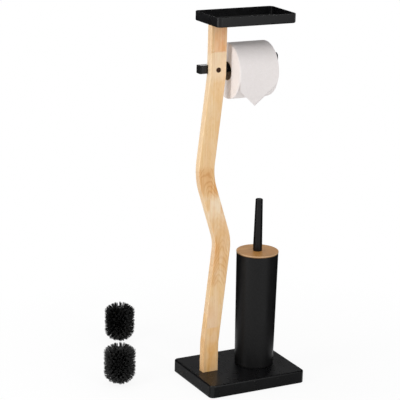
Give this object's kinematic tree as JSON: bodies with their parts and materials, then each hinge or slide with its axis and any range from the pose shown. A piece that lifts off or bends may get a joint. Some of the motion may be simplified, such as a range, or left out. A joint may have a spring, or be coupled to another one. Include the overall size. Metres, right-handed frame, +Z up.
{
  "type": "toilet butler stand",
  "caption": "Free-standing bathroom stand: flat black base, wavy wooden post, tray, square bar with a toilet roll, lidded cup with a toilet brush, and spare brush heads",
  "frame": {"origin": "on the floor, under the middle of the base", "axes": "+Z up; +X along the base's long side, from the post towards the brush cup; -Y towards the user"},
  "size_m": [0.416, 0.449, 0.8316],
  "materials": {
    "black_powder_coat": "satin powder coat",
    "matt_black_coat": "matt coat",
    "black_screw": "black finish",
    "black_plastic": "satin moulded",
    "handle_black": "satin",
    "bristle_black": "bristles",
    "black_rubber": "matt",
    "pale_wood": "finger-jointed, clear satin lacquer",
    "lid_bamboo": "bamboo, clear satin lacquer",
    "weight_board": "raw fibreboard",
    "plain_steel": "plain",
    "roll_cardboard": "wound tube",
    "roll_paper": "soft tissue"
  },
  "bodies": {
    "stand": {"base_shell": "black_powder_coat", "base_board": "weight_board", "base_underlay": "black_rubber", "post": "pale_wood", "post_screw_1": "plain_steel", "post_screw_2": "plain_steel", "post_washer_1": "plain_steel", "post_washer_2": "plain_steel", "tray": "black_powder_coat", "tray_screw_1": "black_screw", "tray_screw_2": "black_screw", "holder_bar": "black_powder_coat", "bar_end_cap": "black_plastic", "bar_end_stop": "black_powder_coat", "bar_screw": "black_screw", "bar_nut": "plain_steel"},
    "roll": {"roll_core": "roll_cardboard", "toilet_roll": "roll_paper"},
    "cup": {"brush_cup": "matt_black_coat", "cup_liner": "black_plastic", "cup_foot_ring": "black_rubber"},
    "brush": {"brush_lid": "lid_bamboo", "lid_plug": "black_plastic", "lid_nut": "plain_steel", "brush_rod": "plain_steel", "brush_handle": "handle_black"},
    "brush_head": {"head_core": "black_plastic", "head_bristles": "bristle_black"},
    "spare_head_1": {"spare_1_core": "black_plastic", "spare_1_bristles": "bristle_black"},
    "spare_head_2": {"spare_2_core": "black_plastic", "spare_2_bristles": "bristle_black"}
  },
  "joints": [
    {"name": "roll_turn", "type": "hinge", "parent": "stand", "child": "roll", "pos_m": [0.0007, 0.0098, 0.70438], "axis": [1, 0, 0], "continuous": true},
    {"name": "cup_lift", "type": "slide", "parent": "stand", "child": "cup", "axis": [0, 0, 1], "range_m": [0, 0.02]},
    {"name": "brush_lift", "type": "slide", "parent": "cup", "child": "brush", "axis": [0, 0, 1], "range_m": [0, 0.18]},
    {"name": "head_unscrew", "type": "hinge", "parent": "brush", "child": "brush_head", "pos_m": [0.0387, 0, 0.0494], "axis": [0, 0, -1], "range_deg": [0, 1080]},
    {"name": "spare_1_lift", "type": "slide", "parent": "stand", "child": "spare_head_1", "axis": [0, 0, 1], "range_m": [0, 0.15]},
    {"name": "spare_2_lift", "type": "slide", "parent": "stand", "child": "spare_head_2", "axis": [0, 0, 1], "range_m": [0, 0.15]}
  ]
}
